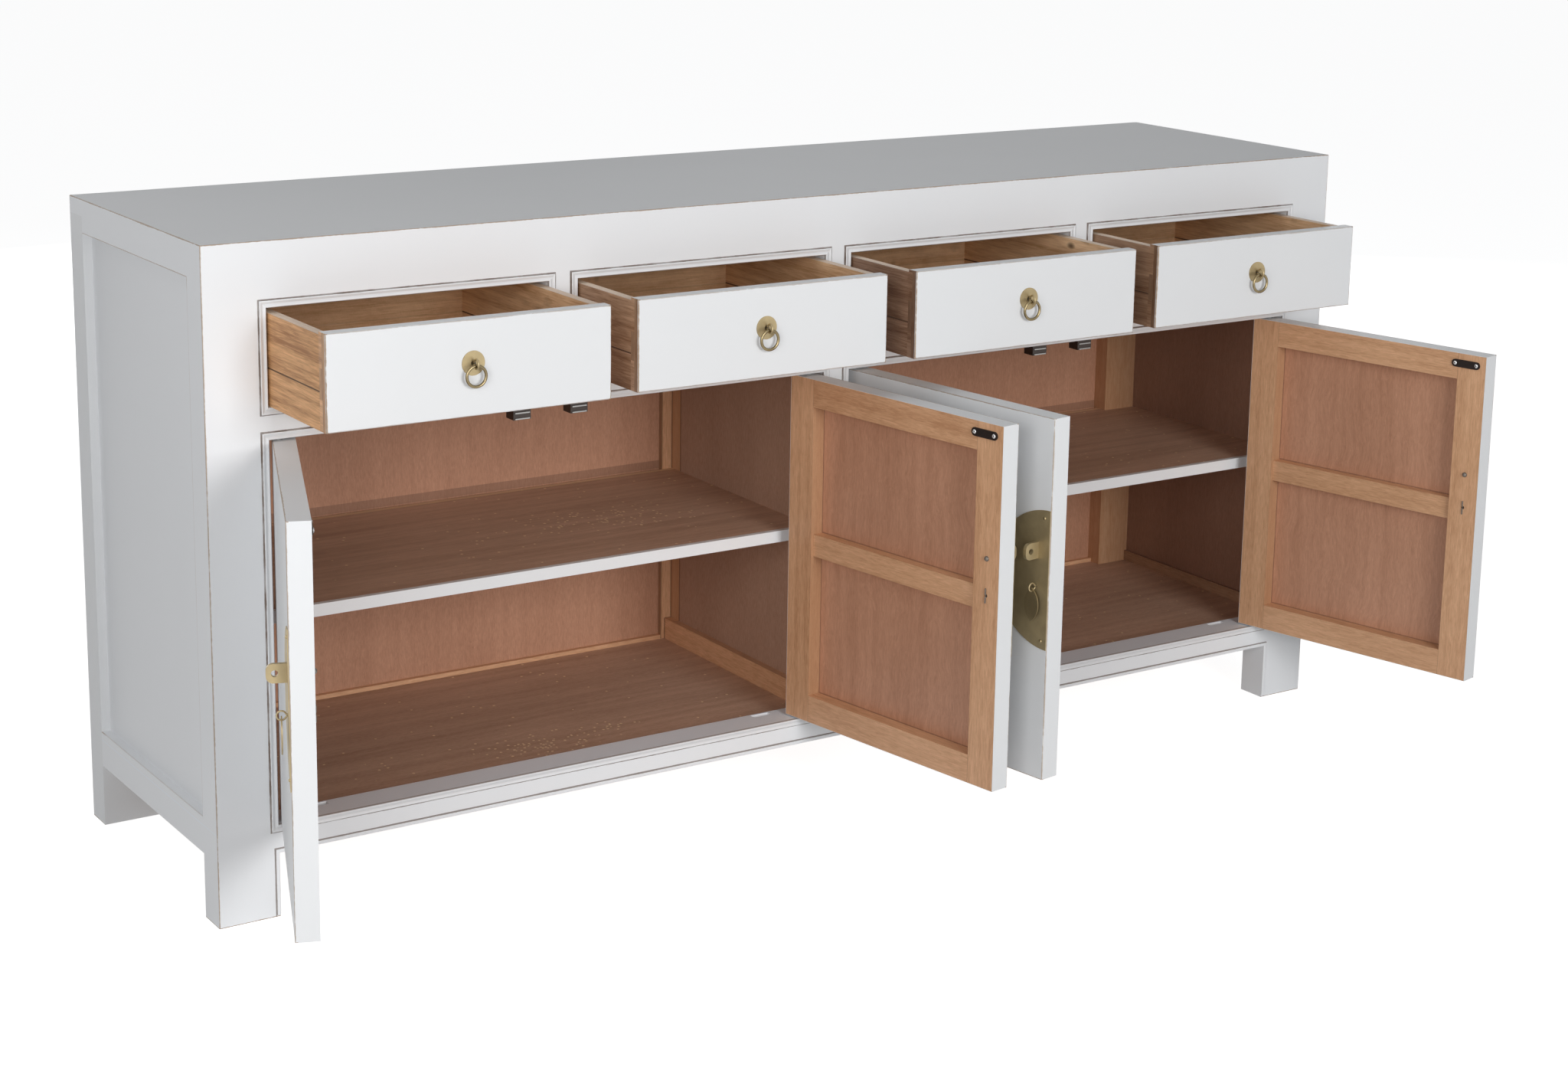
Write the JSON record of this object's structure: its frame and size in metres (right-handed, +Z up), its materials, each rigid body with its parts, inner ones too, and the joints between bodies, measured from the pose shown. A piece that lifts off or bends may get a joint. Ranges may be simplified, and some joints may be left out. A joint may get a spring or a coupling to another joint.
{
  "type": "sideboard",
  "caption": "White lacquered Chinese-style sideboard with drawers on brass ring pulls above framed pivot doors with half-moon lock plates.",
  "frame": {"origin": "floor level at the outer front corner of the left front leg", "axes": "+X along the front to the right, +Y to the back, +Z up"},
  "size_m": [1.8796, 0.8221, 0.85],
  "materials": {
    "white_lacquer": "white satin lacquer on wood, rubbed through to brown along the edges",
    "frame_wood": "honey-brown stained solid wood, satin",
    "plywood": "reddish-brown stained plywood, matte",
    "pine": "natural softwood with knots, lightly oiled",
    "brass": "antique brass, brushed",
    "dark_steel": "blackened steel with zinc screws",
    "pin_steel": "plain steel rod",
    "catch_plastic": "dark brown plastic with steel pole strips"
  },
  "bodies": {
    "carcass": {"top_board": "white_lacquer", "leg_front_left": "white_lacquer", "leg_front_right": "white_lacquer", "legs_back": "white_lacquer", "front_rails": "white_lacquer", "front_dividers": "white_lacquer", "opening_beads": "white_lacquer", "side_frames": "white_lacquer", "side_panels": "white_lacquer", "back_frame": "frame_wood", "back_panels": "plywood", "partition": "plywood", "floor_boards": "plywood", "shelves": "plywood", "drawer_runners": "pine", "magnetic_catches": "catch_plastic"},
    "drawer_1": {"drawer_1_front": "white_lacquer", "drawer_1_sides": "pine", "drawer_1_bottom": "pine", "drawer_1_ring_plate": "brass"},
    "ring_1": {"drawer_1_ring": "brass"},
    "drawer_2": {"drawer_2_front": "white_lacquer", "drawer_2_sides": "pine", "drawer_2_bottom": "pine", "drawer_2_ring_plate": "brass"},
    "ring_2": {"drawer_2_ring": "brass"},
    "drawer_3": {"drawer_3_front": "white_lacquer", "drawer_3_sides": "pine", "drawer_3_bottom": "pine", "drawer_3_ring_plate": "brass"},
    "ring_3": {"drawer_3_ring": "brass"},
    "drawer_4": {"drawer_4_front": "white_lacquer", "drawer_4_sides": "pine", "drawer_4_bottom": "pine", "drawer_4_ring_plate": "brass"},
    "ring_4": {"drawer_4_ring": "brass"},
    "door_1": {"door_1_board": "white_lacquer", "door_1_frame": "frame_wood", "door_1_pivot_pins": "pin_steel", "door_1_lock_plate": "brass", "door_1_strike_plate": "dark_steel"},
    "leaf_1": {"door_1_leaf_pull": "brass"},
    "door_2": {"door_2_board": "white_lacquer", "door_2_frame": "frame_wood", "door_2_pivot_pins": "pin_steel", "door_2_lock_plate": "brass", "door_2_strike_plate": "dark_steel"},
    "leaf_2": {"door_2_leaf_pull": "brass"},
    "door_3": {"door_3_board": "white_lacquer", "door_3_frame": "frame_wood", "door_3_pivot_pins": "pin_steel", "door_3_lock_plate": "brass", "door_3_strike_plate": "dark_steel"},
    "leaf_3": {"door_3_leaf_pull": "brass"},
    "door_4": {"door_4_board": "white_lacquer", "door_4_frame": "frame_wood", "door_4_pivot_pins": "pin_steel", "door_4_lock_plate": "brass", "door_4_strike_plate": "dark_steel"},
    "leaf_4": {"door_4_leaf_pull": "brass"}
  },
  "joints": [
    {"name": "drawer_1_slide", "type": "slide", "parent": "carcass", "child": "drawer_1", "axis": [0, -1, 0], "range_m": [-0.166, 0.135]},
    {"name": "drawer_1_ring_swing", "type": "hinge", "parent": "drawer_1", "child": "ring_1", "pos_m": [0.26925, -0.1735, 0.7118], "axis": [-1, 0, 0], "range_deg": [-8, 170]},
    {"name": "drawer_2_slide", "type": "slide", "parent": "carcass", "child": "drawer_2", "axis": [0, -1, 0], "range_m": [-0.151, 0.15]},
    {"name": "drawer_2_ring_swing", "type": "hinge", "parent": "drawer_2", "child": "ring_2", "pos_m": [0.68975, -0.1585, 0.7118], "axis": [-1, 0, 0], "range_deg": [-8, 170]},
    {"name": "drawer_3_slide", "type": "slide", "parent": "carcass", "child": "drawer_3", "axis": [0, -1, 0], "range_m": [-0.151, 0.15]},
    {"name": "drawer_3_ring_swing", "type": "hinge", "parent": "drawer_3", "child": "ring_3", "pos_m": [1.11025, -0.1585, 0.7118], "axis": [-1, 0, 0], "range_deg": [-8, 170]},
    {"name": "drawer_4_slide", "type": "slide", "parent": "carcass", "child": "drawer_4", "axis": [0, -1, 0], "range_m": [-0.1435, 0.1575]},
    {"name": "drawer_4_ring_swing", "type": "hinge", "parent": "drawer_4", "child": "ring_4", "pos_m": [1.53075, -0.151, 0.7118], "axis": [-1, 0, 0], "range_deg": [-8, 170]},
    {"name": "door_1_hinge", "type": "hinge", "parent": "carcass", "child": "door_1", "pos_m": [0.096, 0.009, 0.3645], "axis": [0, 0, -1], "range_deg": [-110.8, 8]},
    {"name": "door_1_leaf_swing", "type": "hinge", "parent": "door_1", "child": "leaf_1", "pos_m": [-0.04716, -0.32225, 0.381], "axis": [-0.3551, -0.9348, 0], "range_deg": [-120, 6]},
    {"name": "door_2_hinge", "type": "hinge", "parent": "carcass", "child": "door_2", "pos_m": [0.863, 0.009, 0.3645], "axis": [0, 0, 1], "range_deg": [-98.8, 0.5]},
    {"name": "door_2_leaf_swing", "type": "hinge", "parent": "door_2", "child": "leaf_2", "pos_m": [0.93416, -0.34478, 0.381], "axis": [-0.153, 0.9882, 0], "range_deg": [-42, 6]},
    {"name": "door_3_hinge", "type": "hinge", "parent": "carcass", "child": "door_3", "pos_m": [0.937, 0.009, 0.3645], "axis": [0, 0, -1], "range_deg": [-81.7, 0.5]},
    {"name": "door_3_leaf_swing", "type": "hinge", "parent": "door_3", "child": "leaf_3", "pos_m": [0.97301, -0.35006, 0.381], "axis": [0.1444, -0.9895, 0], "range_deg": [-42, 6]},
    {"name": "door_4_hinge", "type": "hinge", "parent": "carcass", "child": "door_4", "pos_m": [1.704, 0.009, 0.3645], "axis": [0, 0, 1], "range_deg": [-103, 15]},
    {"name": "door_4_leaf_swing", "type": "hinge", "parent": "door_4", "child": "leaf_4", "pos_m": [1.80088, -0.33862, 0.381], "axis": [-0.225, 0.9744, 0], "range_deg": [-120, 6]}
  ]
}
